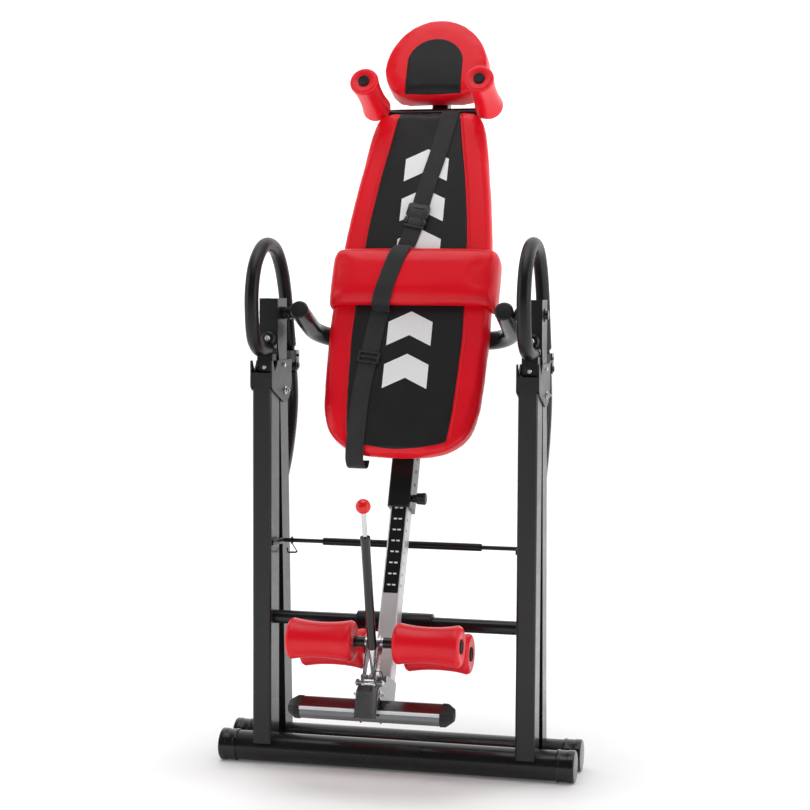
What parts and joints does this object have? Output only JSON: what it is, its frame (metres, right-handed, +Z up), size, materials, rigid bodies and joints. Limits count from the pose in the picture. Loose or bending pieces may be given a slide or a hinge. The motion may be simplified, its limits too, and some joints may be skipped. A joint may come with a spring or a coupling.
{
  "type": "inversion table",
  "caption": "Folding inversion table: A-frame with loop handles, a tilting padded bed, shoulder and ankle rollers, a sliding boom and a lever ankle clamp.",
  "frame": {"origin": "on the floor, under the middle of the overall box at rest", "axes": "+Z up; +Y to the rear, the way the head of the bed leans; +X to the right of someone facing the bed"},
  "size_m": [0.732, 0.7161, 1.5455],
  "materials": {
    "black_steel": "satin",
    "black_plastic": "satin",
    "black_foam": "matte",
    "chrome": "polished",
    "brushed_steel": "satin",
    "red_vinyl": "satin",
    "red_foam": "matte",
    "red_plastic": "gloss",
    "black_webbing": "matte",
    "plywood": "matte"
  },
  "bodies": {
    "front_frame": {"front_base_tube": "black_steel", "front_base_cap_left": "black_plastic", "front_base_cap_right": "black_plastic", "upright_left": "black_steel", "upright_right": "black_steel", "saddle_bracket_left": "black_steel", "saddle_bracket_right": "black_steel", "pivot_channel_left": "black_steel", "pivot_channel_right": "black_steel", "fold_bolt_left": "chrome", "fold_bolt_right": "chrome", "handle_rail_left": "black_steel", "handle_rail_right": "black_steel", "handle_grip_left": "black_foam", "handle_grip_right": "black_foam", "crossbar": "black_steel", "crossbar_bumper": "black_foam", "tie_rod": "black_steel", "tie_rod_sleeve": "black_foam"},
    "rear_frame": {"rear_base_tube": "black_steel", "rear_base_cap_left": "black_plastic", "rear_base_cap_right": "black_plastic", "rear_leg_left": "black_steel", "rear_leg_right": "black_steel"},
    "stay_arm_left": {"stay_left": "black_steel"},
    "stay_arm_right": {"stay_right": "black_steel"},
    "hook": {"fold_hook": "chrome"},
    "bed": {"spine_tube": "black_steel", "boom_guide": "black_plastic", "swing_arm_left": "black_steel", "swing_arm_right": "black_steel", "arm_cap_left": "black_plastic", "arm_cap_right": "black_plastic", "pivot_pin_left": "black_steel", "pivot_pin_right": "black_steel", "backrest_board": "plywood", "backrest_pad": "red_vinyl", "lumbar_pad": "red_vinyl", "belt": "black_webbing", "belt_buckle": "black_plastic", "shoulder_bar": "black_steel", "shoulder_roller_left": "red_foam", "shoulder_roller_right": "red_foam"},
    "headrest": {"head_post": "black_steel", "headrest_pad": "red_vinyl"},
    "boom": {"boom_tube": "brushed_steel", "foot_bracket": "brushed_steel", "footrest_tube": "brushed_steel", "footrest_cap_left": "black_plastic", "footrest_cap_right": "black_plastic", "rear_ankle_bar": "black_steel", "rear_ankle_roller_left": "red_foam", "rear_ankle_roller_right": "red_foam"},
    "knob": {"height_knob": "black_plastic"},
    "clamp": {"clamp_yoke": "black_steel", "front_ankle_roller_left": "red_foam", "front_ankle_roller_right": "red_foam"},
    "lever": {"clamp_lever": "black_steel", "lever_ball": "red_plastic"}
  },
  "joints": [
    {"name": "frame_fold", "type": "hinge", "parent": "front_frame", "child": "rear_frame", "pos_m": [0, -0.038, 0.759], "axis": [1, 0, 0], "range_deg": [0, 40]},
    {"name": "stay_swing_left", "type": "hinge", "parent": "front_frame", "child": "stay_arm_left", "pos_m": [-0.271, 0.0727, 0.806], "axis": [1, 0, 0], "range_deg": [0, 43]},
    {"name": "stay_swing_right", "type": "hinge", "parent": "front_frame", "child": "stay_arm_right", "pos_m": [0.271, 0.0727, 0.806], "axis": [1, 0, 0], "range_deg": [0, 43]},
    {"name": "hook_swing", "type": "hinge", "parent": "front_frame", "child": "hook", "pos_m": [-0.232, -0.0395, 0.4508], "axis": [1, 0, 0], "range_deg": [-40, 90]},
    {"name": "table_tilt", "type": "hinge", "parent": "front_frame", "child": "bed", "pos_m": [0, -0.04881, 0.91709], "axis": [-1, 0, 0], "range_deg": [0, 120]},
    {"name": "headrest_height", "type": "slide", "parent": "bed", "child": "headrest", "axis": [0, 0.3883, 0.9215], "range_m": [0, 0.05]},
    {"name": "boom_length", "type": "slide", "parent": "bed", "child": "boom", "axis": [0, -0.3883, -0.9215], "range_m": [-0.018, 0.1]},
    {"name": "height_lock", "type": "slide", "parent": "bed", "child": "knob", "axis": [1, 0, 0], "range_m": [0, 0.01], "stiffness_N_per_m": 300},
    {"name": "clamp_lever_swing", "type": "hinge", "parent": "boom", "child": "lever", "pos_m": [0, -0.25739, 0.22226], "axis": [1, 0, 0], "range_deg": [0, 30]},
    {"name": "clamp_swing", "type": "hinge", "parent": "boom", "child": "clamp", "pos_m": [0, -0.29363, 0.22125], "axis": [1, 0, 0], "range_deg": [0, 24.5]}
  ],
  "couplings": [
    {"joint": "stay_swing_left", "follows": "frame_fold", "ratio": 1.05},
    {"joint": "stay_swing_right", "follows": "frame_fold", "ratio": 1.05},
    {"joint": "clamp_swing", "follows": "clamp_lever_swing", "ratio": 0.8}
  ]
}
